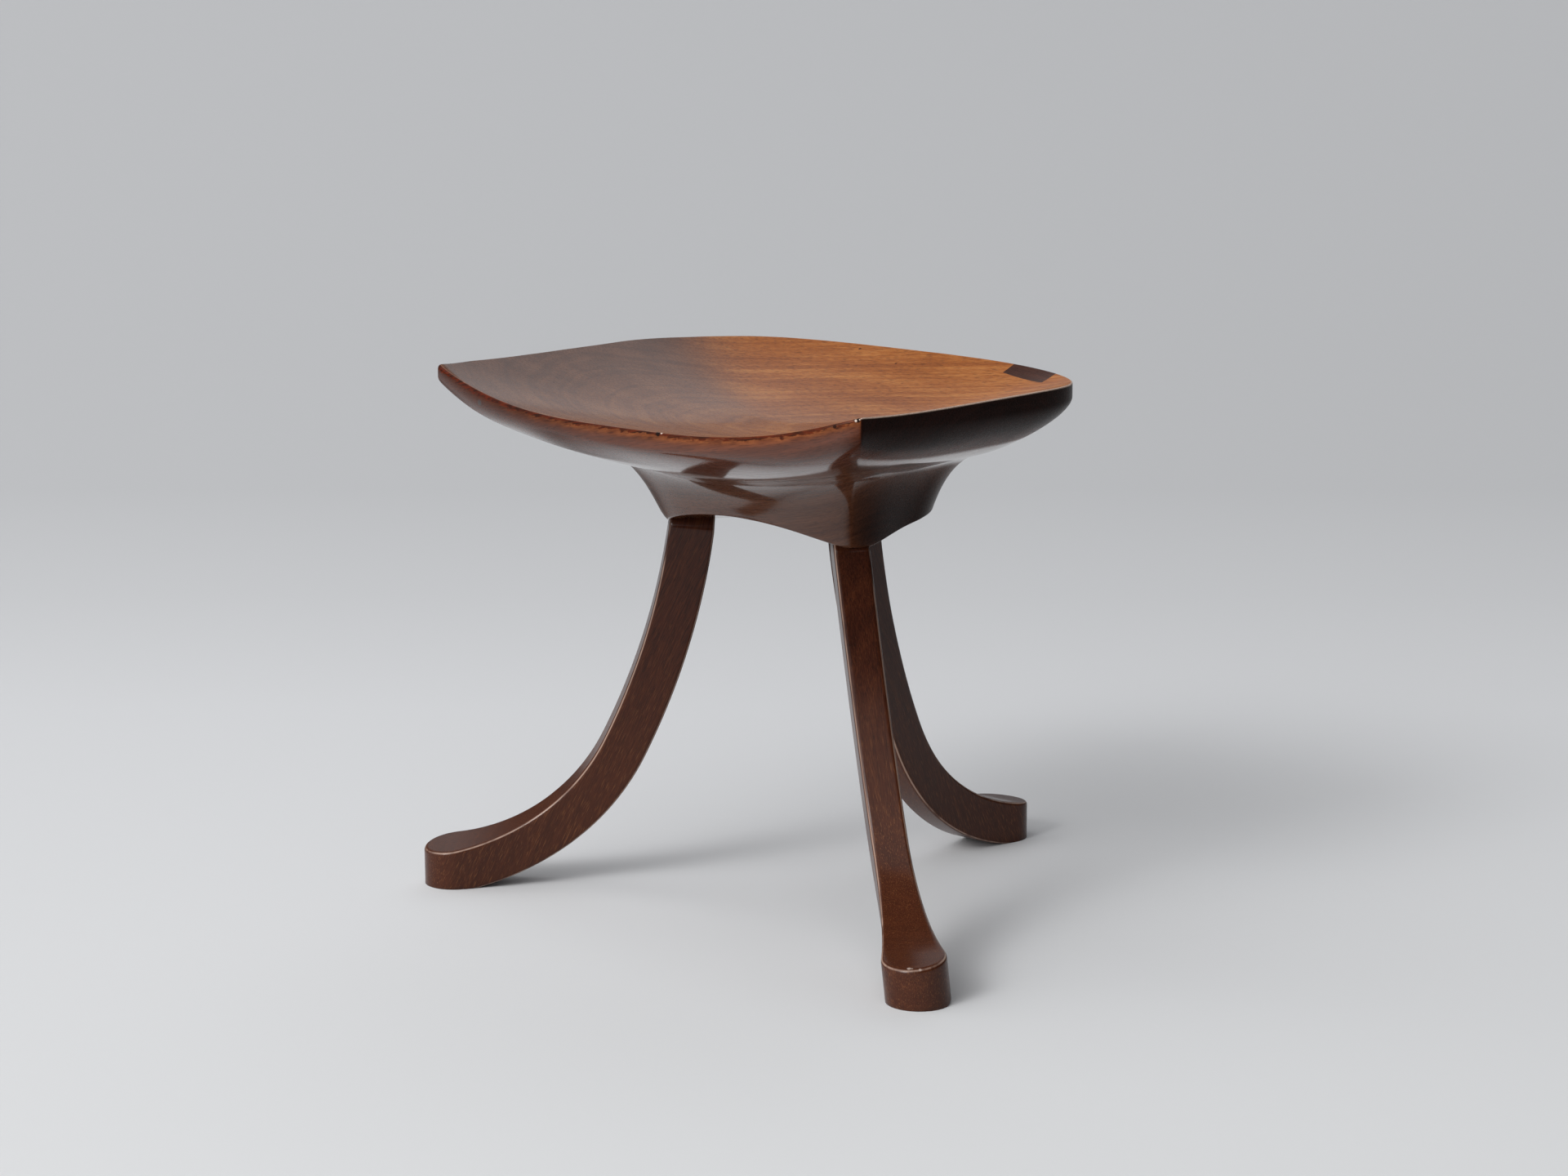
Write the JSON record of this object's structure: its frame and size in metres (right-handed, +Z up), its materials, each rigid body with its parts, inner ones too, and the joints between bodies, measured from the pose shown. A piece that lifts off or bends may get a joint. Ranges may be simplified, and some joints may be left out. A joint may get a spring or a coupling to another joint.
{
  "type": "three-legged stool",
  "caption": "Low wooden stool with a dished seat carved from a thick block, a scooped boss underneath and curved, splayed legs ending in rounded club toes.",
  "frame": {"origin": "on the floor, under the middle of the stool's bounding box", "axes": "+Z up, +X to the right seen from the front, -Y towards the bowed front edge of the seat, the back leg along +Y"},
  "size_m": [0.4424, 0.4003, 0.358],
  "materials": {
    "seat_mahogany": "polished",
    "leg_mahogany": "polished",
    "graft_wood": "polished",
    "wedge_wood": "sawn"
  },
  "bodies": {
    "root": {"seat": "seat_mahogany", "leg_front_left": "leg_mahogany", "leg_front_right": "leg_mahogany", "leg_back": "leg_mahogany", "rim_patch": "graft_wood", "wedge_front_left": "wedge_wood", "wedge_front_right": "wedge_wood", "wedge_back": "wedge_wood"}
  },
  "joints": []
}
